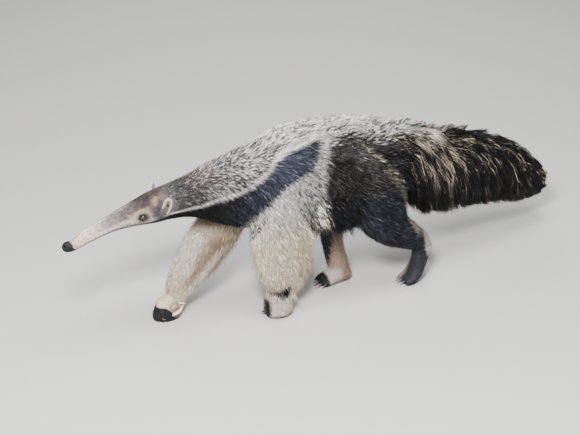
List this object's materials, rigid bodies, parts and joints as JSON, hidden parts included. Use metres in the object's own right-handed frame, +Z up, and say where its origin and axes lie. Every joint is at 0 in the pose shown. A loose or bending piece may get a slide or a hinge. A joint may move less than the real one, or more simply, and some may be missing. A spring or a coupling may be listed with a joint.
{
  "type": "giant anteater",
  "caption": "Life-size walking giant anteater with a long narrow snout, curled fore claws, a chest stripe and a long bushy tail.",
  "frame": {"origin": "middle of the bounding box in X and Y, on the floor under the soles", "axes": "-X is the way that the head points, +Y is the animal's right, +Z is up"},
  "size_m": [1.9404, 0.3618, 0.6375],
  "materials": {
    "face_fur": "short grey-tan fur, paler along the snout, black nose",
    "body_fur": "coarse salt-and-pepper grey fur with a black, white-edged chest stripe",
    "tail_hair": "long black-brown hair with paler streaks",
    "foreleg_fur": "creamy white fur with black wrists",
    "hindleg_fur": "blue-black to pinkish tan short fur",
    "ear_skin": "bare, matt, cream rim",
    "eye": "wet gloss",
    "claw": "ivory horn, satin"
  },
  "bodies": {
    "root": {"ear_left": "ear_skin", "ear_right": "ear_skin", "eye_left": "eye", "eye_right": "eye", "head": "face_fur", "left_fore_foot": "foreleg_fur", "left_fore_foot_claw_2": "claw", "left_fore_foot_claw_3": "claw", "left_fore_foot_claw_4": "claw", "left_fore_leg": "foreleg_fur", "left_hind_foot": "hindleg_fur", "left_hind_foot_claw_1": "claw", "left_hind_foot_claw_2": "claw", "left_hind_foot_claw_3": "claw", "left_hind_foot_claw_4": "claw", "left_hind_foot_claw_5": "claw", "left_hind_leg": "hindleg_fur", "neck": "body_fur", "right_fore_foot": "foreleg_fur", "right_fore_foot_claw_2": "claw", "right_fore_foot_claw_3": "claw", "right_fore_foot_claw_4": "claw", "right_fore_leg": "foreleg_fur", "right_hind_foot": "hindleg_fur", "right_hind_foot_claw_1": "claw", "right_hind_foot_claw_2": "claw", "right_hind_foot_claw_3": "claw", "right_hind_foot_claw_4": "claw", "right_hind_foot_claw_5": "claw", "right_hind_leg": "hindleg_fur", "snout": "face_fur", "tail": "tail_hair", "torso": "body_fur"}
  },
  "joints": []
}
